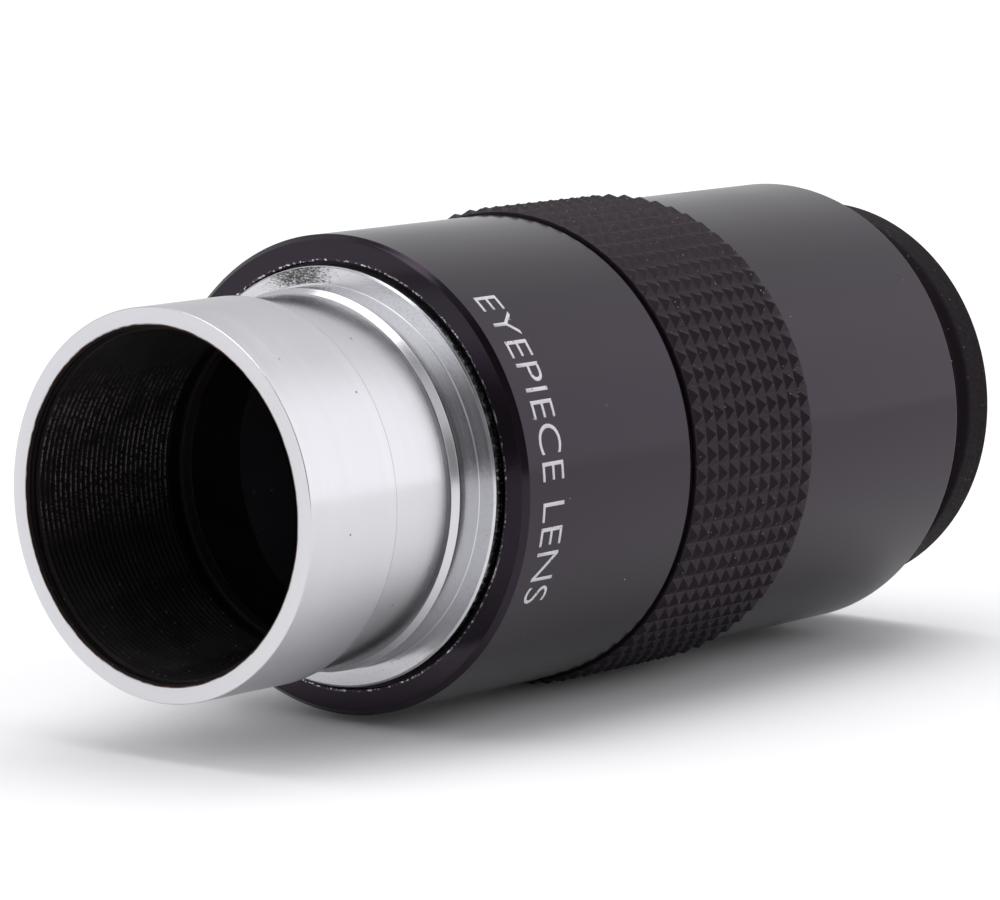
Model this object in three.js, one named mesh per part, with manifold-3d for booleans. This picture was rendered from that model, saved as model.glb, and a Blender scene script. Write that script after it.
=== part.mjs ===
// Telescope eyepiece with a 1.25 inch barrel and two cemented doublets (the Ploessl layout).
//
// Frame: millimetres. +Y runs along the optical axis, from the nose to the eye, and +Z is up, so the
// eyepiece lies on its side. The origin is on the optical axis, in the middle of the overall length.
//
// Every piece is turned about the optical axis. A section is a closed list of [radius, station] points,
// and a station is a distance along the axis from the rim of the nose.

import * as THREE from 'three';
import { mergeVertices } from 'three/addons/utils/BufferGeometryUtils.js';
import Module from 'manifold-3d';

// ---- Driving dimensions ----

const OVERALL = 92.6;
const SIDES = 36;                 // flats round each turned piece
const PLAY = 0.08;                // clearance between two pieces that fit together

const BARREL_R = 15.85;           // 31.7 mm barrel for a 1.25 inch receiver
const BORE_R = 14.25;             // major radius of the M28.5 x 0.6 filter thread
const RIM_CHAMFER = 0.25;
const THREAD_LEAD = 0.2;          // bevel at the mouth of the filter thread
const UNDERCUT_START = 10.5;      // the safety undercut begins with a sharp step down
const UNDERCUT_END = 17.75;
const UNDERCUT_DEPTH = 0.45;
const NECK_START = 18.3;          // top of the short ramp out of the undercut
const NECK_R = 15.8;
const SHOULDER = 20.8;            // the flange's front face, which stops against the receiver
const FLANGE_R = 17.42;
const FLANGE_CHAMFER = 0.25;
const FLANGE_BACK = 22.4;
const SPIGOT_R = 16.0;            // M32 x 0.75 thread into the housing
const SPIGOT_END = 25.6;
const SPIGOT_CHAMFER = 0.3;
const REAR_BORE_R = 13.9;

const STOP_FRONT = 18.1;
const STOP_THICKNESS = 0.9;
const STOP_APERTURE_R = 13.5;     // 27 mm field stop
const STOP_BEVEL = 0.3;
const STOP_EDGE = 0.2;            // height left of the aperture's sharp edge

const BODY_R = 19.94;
const BODY_FRONT = 21.7;
const BODY_END = 83.75;
const BODY_CHAMFER = 0.45;
const BODY_END_CHAMFER = 0.15;
const RECESS_R = 17.75;           // counterbore that takes the flange
const CHAMBER_R = 17.0;
const CHAMBER_START = 26.6;
const CELL_SEAT = 44.0;
const CELL_BORE_R = 15.9;
const CELL_BORE_END = 69.8;
const EYE_WINDOW_R = 13.6;
const EYE_WINDOW_DEPTH = 1.2;
const EYE_MOUTH_R = 15.0;

const GRIP_FRONT = 43.85;
const GRIP_BACK = 61.03;
const GRIP_R = 20.62;
const GRIP_GROOVE_R = 18.9;
const GRIP_CHAMFER = 0.35;

const CUP_SEAT_R = 17.75;         // shallow seat in the housing's end face, round the cup's foot
const CUP_SEAT = 83.65;
const CUP_SPIGOT_R = 16.3;
const CUP_GROOVE_R = 15.7;
const CUP_GROOVE_START = 84.6;
const CUP_GROOVE_END = 86.0;
const CUP_SPIGOT_END = 87.0;
const CUP_SPIGOT_CHAMFER = 0.4;
const CUP_NECK_R = 17.0;
const CUP_RIDGE = 88.35;          // where the neck swells into the lip
const CUP_SWELL = 0.9;
const CUP_LIP_R = 17.65;
const CUP_LIP_DEPTH = 0.7;
const CUP_INNER_R = 16.4;
const CUP_EDGE = 0.5;

const LENS_R = 14.0;
const FIELD_GLASS = 46.5;         // station of the field-side glass face
const FLINT_CENTRE = 2.0;
const CROWN_CENTRE = 8.5;
const CEMENT_RADIUS = 27.4;
const CROWN_RADIUS = 35.0;
const DOUBLET_GAP = 0.5;
const CEMENT_FILM = 0.02;
const LENS_STEPS = 5;             // rings of facets on a domed glass face
const SPACER_BORE_R = 13.2;

const CELL_FLANGE = 1.4;          // length of the cell's flange ahead of its seat
const CELL_LIP = 1.2;             // thickness of the lip behind the eye-side glass
const CELL_LIP_BEVEL = 0.4;

const RETAINER_FRONT = 44.5;
const RETAINER_R = 14.6;
const RETAINER_BORE_R = 13.3;
const RETAINER_BEVEL = 0.5;
const SLOT_WIDTH = 2.0;
const SLOT_DEPTH = 0.8;

// ---- Helpers ----

const wasm = await Module();
wasm.setup();

const sagitta = (curveRadius, radius) => curveRadius - Math.sqrt(curveRadius ** 2 - radius ** 2);

// Points of a spherical surface from the axis out to a rim; bulge is +1 towards the eye and -1
// towards the nose.
function dome(apex, curveRadius, rimRadius, bulge, steps) {
  const points = [];
  for (let i = 0; i <= steps; i += 1) {
    const radius = rimRadius * i / steps;
    points.push([radius, apex - bulge * sagitta(curveRadius, radius)]);
  }
  return points;
}

// A solid turned about the optical axis. A section that doesn't start on the axis is closed into a ring.
function turned(section) {
  const points = section.map(([radius, station]) => new THREE.Vector2(radius, station - OVERALL / 2));
  if (section[0][0] > 0) {
    points.push(points[0].clone());
  }
  return new THREE.LatheGeometry(points, SIDES, Math.PI / SIDES);
}

function toManifold(geometry) {
  const bare = geometry.clone();
  bare.deleteAttribute('normal');
  bare.deleteAttribute('uv');
  const merged = mergeVertices(bare, 1e-5);
  return new wasm.Manifold(new wasm.Mesh({
    numProp: 3,
    vertProperties: new Float32Array(merged.attributes.position.array),
    triVerts: new Uint32Array(merged.index.array),
  }));
}

function cutAway(geometry, tool) {
  const mesh = toManifold(geometry).subtract(toManifold(tool)).getMesh();
  const result = new THREE.BufferGeometry();
  result.setAttribute('position', new THREE.BufferAttribute(new Float32Array(mesh.vertProperties), 3));
  result.setIndex(new THREE.BufferAttribute(new Uint32Array(mesh.triVerts), 1));
  return result;
}

// ---- Sections of the pieces ----

function nosepiece() {
  return turned([
    [BORE_R + THREAD_LEAD, 0],
    [BARREL_R - RIM_CHAMFER, 0],
    [BARREL_R, RIM_CHAMFER],
    [BARREL_R, UNDERCUT_START],
    [BARREL_R - UNDERCUT_DEPTH, UNDERCUT_START],
    [BARREL_R - UNDERCUT_DEPTH, UNDERCUT_END],
    [NECK_R, NECK_START],
    [NECK_R, SHOULDER],
    [FLANGE_R - FLANGE_CHAMFER, SHOULDER],
    [FLANGE_R, SHOULDER + FLANGE_CHAMFER],
    [FLANGE_R, FLANGE_BACK],
    [SPIGOT_R, FLANGE_BACK],
    [SPIGOT_R, SPIGOT_END - SPIGOT_CHAMFER],
    [SPIGOT_R - SPIGOT_CHAMFER, SPIGOT_END],
    [REAR_BORE_R, SPIGOT_END],
    [REAR_BORE_R, STOP_FRONT + STOP_THICKNESS + PLAY],
    [BORE_R, STOP_FRONT + STOP_THICKNESS + PLAY],
    [BORE_R, THREAD_LEAD],
  ]);
}

function fieldStopRing() {
  return turned([
    [STOP_APERTURE_R, STOP_FRONT + STOP_THICKNESS - STOP_EDGE],
    [STOP_APERTURE_R + STOP_BEVEL, STOP_FRONT],
    [BORE_R - PLAY, STOP_FRONT],
    [BORE_R - PLAY, STOP_FRONT + STOP_THICKNESS],
    [STOP_APERTURE_R, STOP_FRONT + STOP_THICKNESS],
  ]);
}

function housing() {
  return turned([
    [RECESS_R, BODY_FRONT],
    [BODY_R - BODY_CHAMFER, BODY_FRONT],
    [BODY_R, BODY_FRONT + BODY_CHAMFER],
    [BODY_R, GRIP_FRONT - PLAY],
    [GRIP_GROOVE_R, GRIP_FRONT - PLAY],
    [GRIP_GROOVE_R, GRIP_BACK + PLAY],
    [BODY_R, GRIP_BACK + PLAY],
    [BODY_R, BODY_END - BODY_END_CHAMFER],
    [BODY_R - BODY_END_CHAMFER, BODY_END],
    [CUP_SEAT_R, BODY_END],
    [CUP_SEAT_R, CUP_SEAT],
    [CUP_SPIGOT_R, CUP_SEAT],
    [CUP_SPIGOT_R, CUP_GROOVE_START],
    [CUP_GROOVE_R, CUP_GROOVE_START],
    [CUP_GROOVE_R, CUP_GROOVE_END],
    [CUP_SPIGOT_R, CUP_GROOVE_END],
    [CUP_SPIGOT_R, CUP_SPIGOT_END - CUP_SPIGOT_CHAMFER],
    [CUP_SPIGOT_R - CUP_SPIGOT_CHAMFER, CUP_SPIGOT_END],
    [EYE_MOUTH_R, CUP_SPIGOT_END],
    [EYE_WINDOW_R, CELL_BORE_END + EYE_WINDOW_DEPTH],
    [EYE_WINDOW_R, CELL_BORE_END],
    [CELL_BORE_R, CELL_BORE_END],
    [CELL_BORE_R, CELL_SEAT],
    [CHAMBER_R, CELL_SEAT],
    [CHAMBER_R, CHAMBER_START],
    [SPIGOT_R + PLAY, CHAMBER_START],
    [SPIGOT_R + PLAY, FLANGE_BACK + PLAY],
    [RECESS_R, FLANGE_BACK + PLAY],
  ]);
}

function gripRing() {
  return turned([
    [GRIP_GROOVE_R + PLAY, GRIP_FRONT],
    [GRIP_R - GRIP_CHAMFER, GRIP_FRONT],
    [GRIP_R, GRIP_FRONT + GRIP_CHAMFER],
    [GRIP_R, GRIP_BACK - GRIP_CHAMFER],
    [GRIP_R - GRIP_CHAMFER, GRIP_BACK],
    [GRIP_GROOVE_R + PLAY, GRIP_BACK],
  ]);
}

function eyecup() {
  return turned([
    [CUP_SPIGOT_R + PLAY, CUP_SEAT + PLAY],
    [CUP_NECK_R, CUP_SEAT + PLAY],
    [CUP_NECK_R, CUP_RIDGE],
    [CUP_LIP_R, CUP_RIDGE + CUP_SWELL],
    [CUP_LIP_R, OVERALL - CUP_LIP_DEPTH],
    [CUP_LIP_R - CUP_EDGE, OVERALL],
    [CUP_INNER_R, OVERALL],
    [CUP_INNER_R - CUP_EDGE / 2, OVERALL - CUP_LIP_DEPTH],
    [CUP_INNER_R, CUP_RIDGE],
    [CUP_SPIGOT_R + PLAY, CUP_GROOVE_END - PLAY],
    [CUP_GROOVE_R + PLAY, CUP_GROOVE_END - PLAY],
    [CUP_GROOVE_R + PLAY, CUP_GROOVE_START + PLAY],
    [CUP_SPIGOT_R + PLAY, CUP_GROOVE_START + PLAY],
  ]);
}

// Stations of the glass, counted through the stack from the nose side.
const fieldCement = FIELD_GLASS + FLINT_CENTRE;
const fieldApex = fieldCement + CROWN_CENTRE;
const eyeApex = fieldApex + DOUBLET_GAP;
const eyeCement = eyeApex + CROWN_CENTRE;
const eyeGlass = eyeCement + FLINT_CENTRE;

function fieldFlint() {
  return turned([
    [0, FIELD_GLASS],
    [LENS_R, FIELD_GLASS],
    ...dome(fieldCement, CEMENT_RADIUS, LENS_R, -1, LENS_STEPS).reverse(),
  ]);
}

function fieldCrown() {
  return turned([
    ...dome(fieldCement + CEMENT_FILM, CEMENT_RADIUS, LENS_R, -1, LENS_STEPS),
    ...dome(fieldApex, CROWN_RADIUS, LENS_R, 1, LENS_STEPS).reverse(),
  ]);
}

function eyeCrown() {
  return turned([
    ...dome(eyeApex, CROWN_RADIUS, LENS_R, -1, LENS_STEPS),
    ...dome(eyeCement - CEMENT_FILM, CEMENT_RADIUS, LENS_R, 1, LENS_STEPS).reverse(),
  ]);
}

function eyeFlint() {
  return turned([
    ...dome(eyeCement, CEMENT_RADIUS, LENS_R, 1, LENS_STEPS),
    [LENS_R, eyeGlass],
    [0, eyeGlass],
  ]);
}

function spacerRing() {
  const seat = sagitta(CROWN_RADIUS, SPACER_BORE_R) - PLAY;
  return turned([
    [SPACER_BORE_R, fieldApex - seat],
    [LENS_R, fieldApex - seat],
    [LENS_R, eyeApex + seat],
    [SPACER_BORE_R, eyeApex + seat],
  ]);
}

function lensCell() {
  const cellFront = CELL_SEAT - CELL_FLANGE;
  const cellLip = eyeGlass + PLAY;
  const cellEnd = cellLip + CELL_LIP;
  return turned([
    [RETAINER_R + PLAY, cellFront],
    [CHAMBER_R - PLAY, cellFront],
    [CHAMBER_R - PLAY, CELL_SEAT - PLAY],
    [CELL_BORE_R - PLAY, CELL_SEAT - PLAY],
    [CELL_BORE_R - PLAY, cellEnd],
    [EYE_WINDOW_R, cellEnd],
    [EYE_WINDOW_R - CELL_LIP_BEVEL, cellLip],
    [LENS_R + PLAY, cellLip],
    [LENS_R + PLAY, FIELD_GLASS - PLAY],
    [RETAINER_R + PLAY, FIELD_GLASS - PLAY],
  ]);
}

function cellRetainingRing() {
  const ring = turned([
    [RETAINER_BORE_R + RETAINER_BEVEL, RETAINER_FRONT],
    [RETAINER_R, RETAINER_FRONT],
    [RETAINER_R, FIELD_GLASS - 2 * PLAY],
    [RETAINER_BORE_R, FIELD_GLASS - 2 * PLAY],
    [RETAINER_BORE_R, RETAINER_FRONT + RETAINER_BEVEL],
  ]);
  const slotTool = new THREE.BoxGeometry(4 * RETAINER_R, 2 * SLOT_DEPTH, SLOT_WIDTH);
  slotTool.translate(0, RETAINER_FRONT - OVERALL / 2, 0);
  return cutAway(ring, slotTool);
}

// ---- Materials ----

const finish = (color, roughness, metalness, extra = {}) =>
  new THREE.MeshStandardMaterial({ color, roughness, metalness, ...extra });

const glass = { transparent: true, opacity: 0.35 };

// ---- Assembly ----

const eyepiece = new THREE.Group();
eyepiece.name = 'telescope_eyepiece';

function place(name, geometry, material) {
  const mesh = new THREE.Mesh(geometry, material);
  mesh.name = name;
  eyepiece.add(mesh);
}

place('nosepiece', nosepiece(), finish(0xd9d9de, 0.16, 1.0));
place('field_stop_ring', fieldStopRing(), finish(0x141213, 0.6, 0.3));
place('housing', housing(), finish(0x1b1819, 0.28, 0.4));
place('grip_ring', gripRing(), finish(0x242124, 0.85, 0.0));
place('eyecup', eyecup(), finish(0x1d1b1c, 0.8, 0.0));
place('lens_cell', lensCell(), finish(0x171516, 0.5, 0.4));
place('cell_retaining_ring', cellRetainingRing(), finish(0x171516, 0.5, 0.4));
place('spacer_ring', spacerRing(), finish(0x171516, 0.5, 0.4));
place('field_flint', fieldFlint(), finish(0xcfd8dc, 0.05, 0.0, glass));
place('field_crown', fieldCrown(), finish(0xd8e0e4, 0.05, 0.0, glass));
place('eye_crown', eyeCrown(), finish(0xd8e0e4, 0.05, 0.0, glass));
place('eye_flint', eyeFlint(), finish(0xcfd8dc, 0.05, 0.0, glass));

export default eyepiece;
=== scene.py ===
# Looks for a telescope eyepiece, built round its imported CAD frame.
#
# The optical axis is Y, from the nose to the eye, and Z is up. Shapes are worked out in millimetres and
# become metres when a mesh is made. Almost every piece is turned about the axis: its section is a list of
# corners (radius, station, fillet, band), where a station is a distance along the axis from the nose's
# rim and a band picks the material of the surface that follows. A section runs outward across the nose
# side, back along the outside, inward across the eye side and forward along the bore. PLAY is the gap
# left between pieces that fit into each other.

import math

import bmesh
import bpy
import numpy as np
from mathutils import Matrix, Vector


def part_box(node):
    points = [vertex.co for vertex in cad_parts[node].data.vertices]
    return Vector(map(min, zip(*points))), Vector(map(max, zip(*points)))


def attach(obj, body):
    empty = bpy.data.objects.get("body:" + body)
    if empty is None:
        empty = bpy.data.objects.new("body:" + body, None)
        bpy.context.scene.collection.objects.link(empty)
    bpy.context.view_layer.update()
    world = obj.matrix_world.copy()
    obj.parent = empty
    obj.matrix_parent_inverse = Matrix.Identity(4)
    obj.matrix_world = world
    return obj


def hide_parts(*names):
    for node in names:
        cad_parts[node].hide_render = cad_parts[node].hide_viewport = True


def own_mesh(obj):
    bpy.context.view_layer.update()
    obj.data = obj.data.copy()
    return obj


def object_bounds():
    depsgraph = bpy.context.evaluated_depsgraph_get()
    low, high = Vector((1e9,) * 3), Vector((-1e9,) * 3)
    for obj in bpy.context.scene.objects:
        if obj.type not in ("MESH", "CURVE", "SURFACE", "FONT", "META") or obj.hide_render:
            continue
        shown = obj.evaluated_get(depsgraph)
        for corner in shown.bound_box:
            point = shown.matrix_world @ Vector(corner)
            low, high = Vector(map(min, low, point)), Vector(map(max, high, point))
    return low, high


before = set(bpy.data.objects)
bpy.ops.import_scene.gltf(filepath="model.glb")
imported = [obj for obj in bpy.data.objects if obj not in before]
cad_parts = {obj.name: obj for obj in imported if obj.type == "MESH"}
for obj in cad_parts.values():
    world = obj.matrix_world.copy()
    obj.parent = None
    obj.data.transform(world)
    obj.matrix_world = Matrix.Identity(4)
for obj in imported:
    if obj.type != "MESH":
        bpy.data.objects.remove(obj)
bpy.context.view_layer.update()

MM = 0.001
SEGMENTS = 192
RIM_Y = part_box("nosepiece")[0].y / MM
PLAY = 0.08
SHOULDER = 20.8
BODY_FACE = 21.7
PYRAMID_DEPTH = 0.46
GRIP_RABBET = 0.50


def along(station):
    """The Y of a station, in metres."""
    return (station + RIM_Y) * MM


def extent(node):
    """Nose-side station, eye-side station, least and greatest radius of a CAD node, in millimetres."""
    points = np.array([v.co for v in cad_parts[node].data.vertices]) / MM
    radii = np.hypot(points[:, 0], points[:, 2])
    return points[:, 1].min() - RIM_Y, points[:, 1].max() - RIM_Y, radii.min(), radii.max()


# ---- Turned shapes ----

def unit(v):
    return v / np.linalg.norm(v)


def rounded(corners, closed=True):
    """Points of a section with its fillets: (position, normal before, normal after, band of the next edge).
    A fillet of None is a point on a smooth curve."""
    count = len(corners)
    place = [np.array(c[:2], float) for c in corners]
    ahead = [unit(place[(i + 1) % count] - place[i]) for i in range(count)]
    length = [np.linalg.norm(place[(i + 1) % count] - place[i]) for i in range(count)]
    points = []
    for i, (_, _, fillet, band) in enumerate(corners):
        before, after = ahead[i - 1], ahead[i]
        if not closed and i == 0:
            before = after
        if not closed and i == count - 1:
            after = before
        n1 = np.array([before[1], -before[0]])
        n2 = np.array([after[1], -after[0]])
        turn = math.acos(max(-1.0, min(1.0, float(before @ after))))
        if fillet is None:
            smooth = unit(n1 + n2)
            points.append((place[i], smooth, smooth, band))
        elif fillet == 0 or turn < 1e-4:
            points.append((place[i], n1, n2, band))
        else:
            reach = min(fillet * math.tan(turn / 2), 0.48 * length[i - 1], 0.48 * length[i])
            radius = reach / math.tan(turn / 2)
            side = 1 if before[1] * after[0] - before[0] * after[1] < 0 else -1
            centre = place[i] - before * reach - side * n1 * radius
            steps = max(3, math.ceil(math.degrees(turn) / 12))
            for k in range(steps + 1):
                n = unit(n1 * math.sin(turn * (1 - k / steps)) + n2 * math.sin(turn * k / steps))
                points.append((centre + side * n * radius, n, n, band))
    return points


def spread(values, angles):
    """Vectors for (radial, axial, tangential) parts at each angle round the axis."""
    radial, axial, tangential = values
    c, s = np.cos(angles), np.sin(angles)
    return np.stack([radial * c - tangential * s, axial + 0 * c, radial * s + tangential * c], axis=-1)


def make_piece(name, positions, faces, normals, bands, materials):
    """A mesh object from millimetre points, with coinciding points welded and a normal at each corner."""
    kept, index = np.unique(np.round(positions, 5), axis=0, return_inverse=True)
    index = index.ravel()
    clean_faces, clean_normals, clean_bands = [], [], []
    for face, corner_normals, band in zip(faces, normals, bands):
        ring, ring_normals = [], []
        for vertex, normal in zip(face, corner_normals):
            welded = int(index[vertex])
            if welded not in ring:
                ring.append(welded)
                ring_normals.append(normal)
        if len(ring) > 2:
            clean_faces.append(ring)
            clean_normals.extend(ring_normals)
            clean_bands.append(band)
    mesh = bpy.data.meshes.new(name)
    placed = kept + np.array([0, RIM_Y, 0])
    mesh.from_pydata((placed * MM).tolist(), [], clean_faces)
    for material in materials:
        mesh.materials.append(material)
    mesh.polygons.foreach_set("material_index", clean_bands)
    mesh.polygons.foreach_set("use_smooth", [True] * len(clean_faces))
    mesh.normals_split_custom_set([tuple(n) for n in clean_normals])
    piece = bpy.data.objects.new(name, mesh)
    bpy.context.scene.collection.objects.link(piece)
    return piece


def lathe(points, closed, angles, relief=None):
    """Positions, faces, corner normals and bands of a section turned through the angles.
    relief(stations, angles) gives radii and their slopes for the points in band "carved"."""
    count, columns = len(points), len(angles)
    positions = np.zeros((count, columns, 3))
    before, after = np.zeros((count, columns, 3)), np.zeros((count, columns, 3))
    for i, (place, n1, n2, band) in enumerate(points):
        if band == CARVED:
            radius, slope, swirl = relief(place[1], angles)
            n = spread((-np.ones(columns), slope, swirl / radius), angles)
            n /= np.linalg.norm(n, axis=1, keepdims=True)
            positions[i] = spread((radius, place[1], 0), angles)
            before[i] = after[i] = n
        else:
            positions[i] = spread((place[0], place[1], 0), angles)
            before[i] = spread((n1[0], n1[1], 0), angles)
            after[i] = spread((n2[0], n2[1], 0), angles)
    faces, normals, bands = [], [], []
    for i in range(count if closed else count - 1):
        j = (i + 1) % count
        band = points[i][3]
        for k in range(columns):
            m = (k + 1) % columns
            faces.append((i * columns + k, j * columns + k, j * columns + m, i * columns + m))
            normals.append((after[i, k], before[j, k], before[j, m], after[i, m]))
            bands.append(INNER if band == CARVED else band)
    return positions.reshape(-1, 3), faces, normals, bands


def turned(name, corners, materials, closed=True, relief=None):
    angles = np.arange(SEGMENTS) * 2 * math.pi / SEGMENTS
    return make_piece(name, *lathe(rounded(corners, closed), closed, angles, relief), materials)


def dome(apex, curve, rim, bulge, band, steps=20):
    """Corners of a spherical surface from the axis to just inside its rim; bulge is +1 towards the eye."""
    points = []
    for i in range(steps):
        radius = rim * i / steps
        points.append((radius, apex - bulge * (curve - math.sqrt(curve ** 2 - radius ** 2)), None, band))
    return points


# ---- Materials ----

class Finish:
    """A procedural material. Coordinates are the object's own, in metres."""

    def __init__(self, name, **sockets):
        self.material = bpy.data.materials.new(name)
        self.material.use_nodes = True
        self.tree = self.material.node_tree
        self.shader = self.tree.nodes["Principled BSDF"]
        for socket, value in sockets.items():
            self.shader.inputs[socket.replace("_", " ")].default_value = value
        self.place = self.add("ShaderNodeTexCoord").outputs["Object"]
        parts = self.add("ShaderNodeSeparateXYZ", {0: self.place}).outputs
        self.axial = parts["Y"]
        self.height = parts["Z"]
        self.sideways = parts["X"]
        across = self.add("ShaderNodeCombineXYZ", {0: parts["X"], 1: 0.0, 2: parts["Z"]}).outputs[0]
        self.radius = self.add("ShaderNodeVectorMath", {0: across}, operation="LENGTH").outputs["Value"]
        section = self.add("ShaderNodeCombineXYZ", {0: self.radius, 1: self.axial, 2: 0.0})
        self.section = section.outputs[0]

    def add(self, kind, inputs=None, **settings):
        node = self.tree.nodes.new(kind)
        for key, value in settings.items():
            setattr(node, key, value)
        for key, value in (inputs or {}).items():
            if isinstance(value, bpy.types.NodeSocket):
                self.tree.links.new(value, node.inputs[key])
            else:
                node.inputs[key].default_value = value
        return node

    def math(self, operation, *values):
        return self.add("ShaderNodeMath", dict(enumerate(values)), operation=operation).outputs[0]

    def noise(self, scale, detail=3.0, rough=0.55, vector=None, distortion=0.0):
        return self.add("ShaderNodeTexNoise", {
            "Vector": vector or self.place, "Scale": scale, "Detail": detail, "Roughness": rough,
            "Distortion": distortion}).outputs["Fac"]

    def ramp(self, value, low, high, to_low=0.0, to_high=1.0):
        return self.add("ShaderNodeMapRange", {
            "Value": value, "From Min": low, "From Max": high, "To Min": to_low, "To Max": to_high},
            interpolation_type="SMOOTHSTEP").outputs["Result"]

    def stretched(self, x, y, z):
        """The object's coordinates scaled by a different amount along each axis."""
        scaled = self.add("ShaderNodeVectorMath", {0: self.place, 1: (x, y, z)}, operation="MULTIPLY")
        return scaled.outputs[0]

    def rings(self, scale, detail=2.0):
        """Fine marks that run round the axis, on cylinders and flat faces alike."""
        return self.noise(scale, detail, 0.6, vector=self.section)

    def specks(self, scale, share, size):
        """Dust: small round grains in a share of the cells, 1 on a grain and 0 off it."""
        cells = self.add("ShaderNodeTexVoronoi", {
            "Vector": self.place, "Scale": scale, "Randomness": 1.0})
        chance = self.add("ShaderNodeSeparateColor", {"Color": cells.outputs["Color"]}).outputs
        grain = self.math("MULTIPLY", chance["Green"], size)
        inside = self.math("LESS_THAN", cells.outputs["Distance"], grain)
        chosen = self.math("LESS_THAN", chance["Red"], share)
        return self.math("MULTIPLY", inside, chosen)

    def mix(self, factor, a, b):
        node = self.add("ShaderNodeMix", data_type="RGBA")
        for key, value in (("Factor", factor), ("A", a), ("B", b)):
            kind = "VALUE" if key == "Factor" else "RGBA"
            socket = next(s for s in node.inputs if s.name == key and s.type == kind)
            if isinstance(value, bpy.types.NodeSocket):
                self.tree.links.new(value, socket)
            else:
                socket.default_value = value
        return next(s for s in node.outputs if s.type == "RGBA")

    def colour(self, socket):
        self.tree.links.new(socket, self.shader.inputs["Base Color"])

    def roughness(self, socket):
        self.tree.links.new(socket, self.shader.inputs["Roughness"])

    def metallic(self, socket):
        self.tree.links.new(socket, self.shader.inputs["Metallic"])

    def bump(self, *layers):
        """Each layer is a height socket and its full depth in millimetres."""
        normal = None
        for height, depth in layers:
            inputs = {"Height": height, "Strength": 1.0, "Distance": depth * MM}
            if normal is not None:
                inputs["Normal"] = normal
            normal = self.add("ShaderNodeBump", inputs).outputs["Normal"]
        self.tree.links.new(normal, self.shader.inputs["Normal"])


def bright_barrel():
    """Plated and polished, with fine turning marks, smudges and tiny pits, a painted dark reflection near
    the top of the flange's face and a brown line where the plating ends inside the mouth."""
    f = Finish("bright_barrel", Metallic=1.0)
    marks = f.rings(5200, 3.0)
    broad = f.rings(700, 2.0)
    smudge = f.noise(60, 4.0, 0.6, distortion=0.4)
    pits = f.specks(700, 0.10, 0.07)
    tone = f.math("MULTIPLY_ADD", smudge, 0.04, 0.575)
    tone = f.math("MULTIPLY_ADD", broad, 0.04, tone)
    # Painted reflection: a dark, streaked area near the top of the flange's face, off to one side, stands
    # for something dark mirrored in it.
    face = f.math("MULTIPLY", f.ramp(f.axial, along(SHOULDER + 0.12), along(SHOULDER + 0.05)),
                  f.ramp(f.radius, 15.95 * MM, 16.05 * MM))
    off_centre = f.math("ABSOLUTE", f.math("ADD", f.sideways, 3.2 * MM))
    reflection_area = f.math("MULTIPLY", f.ramp(off_centre, 5.2 * MM, 0.8 * MM),
                   f.ramp(f.height, 14.5 * MM, 16.2 * MM))
    streaks = f.noise(1.0, 4.0, 0.75, vector=f.stretched(3400, 3400, 9000))
    streaked_reflection = f.ramp(f.math("MULTIPLY_ADD", reflection_area, 0.26, streaks), 0.54, 0.82, 0.0, 0.97)
    dark_reflection = f.math("MULTIPLY", face, streaked_reflection)
    blue = f.math("MULTIPLY", tone, 1.035)
    clean = f.add("ShaderNodeCombineColor", {0: tone, 1: tone, 2: blue}).outputs[0]
    plated = f.mix(f.math("MAXIMUM", pits, dark_reflection), clean, (0.05, 0.045, 0.042, 1))
    mouth = f.math("MULTIPLY", f.ramp(f.radius, 14.56 * MM, 14.48 * MM),
                   f.ramp(f.noise(700, 3.0), 0.35, 0.60, 0.5, 1.0))
    f.colour(f.mix(mouth, plated, (0.10, 0.036, 0.012, 1)))
    f.roughness(f.math("ADD", f.ramp(smudge, 0.35, 0.75, 0.15, 0.24), f.ramp(marks, 0.3, 0.7, 0.0, 0.05)))
    f.bump((marks, 0.0011), (broad, 0.002), (pits, -0.004))
    return f.material


def thread_black():
    """Matte black bore with painted highlights on its crests in a band of height, and dust in the lower
    part.
    """
    f = Finish("thread_black", Specular_IOR_Level=0.12)
    crest = f.math("MULTIPLY", f.ramp(f.radius, 14.03 * MM, 13.95 * MM),
                   f.ramp(f.axial, along(17.3), along(16.6)))
    # Painted highlight: pale grey and a little glossier on the sharp crests, only within a band of height
    # on the bore's sides, standing for light caught by the crests.
    side = f.math("MULTIPLY", f.ramp(f.height, -5 * MM, -1 * MM), f.ramp(f.height, 10.5 * MM, 5 * MM))
    dotted = f.math("MULTIPLY", f.ramp(f.noise(5200, 1.0, 0.5), 0.42, 0.56),
                    f.ramp(f.noise(260, 2.0), 0.30, 0.55))
    crest_highlight = f.math("MULTIPLY", crest, f.math("MULTIPLY", side, dotted))
    grains = f.specks(3000, 0.30, 0.28)
    dust = f.math("MULTIPLY", grains, f.ramp(f.height, -5 * MM, -11 * MM, 0.04, 1.0))
    base = f.mix(f.noise(500, 4.0), (0.0032, 0.0022, 0.0021, 1), (0.0068, 0.0048, 0.0047, 1))
    highlighted_crests = f.mix(crest_highlight, base, (0.13, 0.118, 0.112, 1))
    f.colour(f.mix(dust, highlighted_crests, (0.07, 0.058, 0.05, 1)))
    f.roughness(f.math("MULTIPLY_ADD", crest_highlight, -0.18, f.ramp(f.noise(300), 0.3, 0.7, 0.55, 0.72)))
    f.bump((f.noise(3500, 3.0), 0.006), (dust, 0.02))
    return f.material


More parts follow.
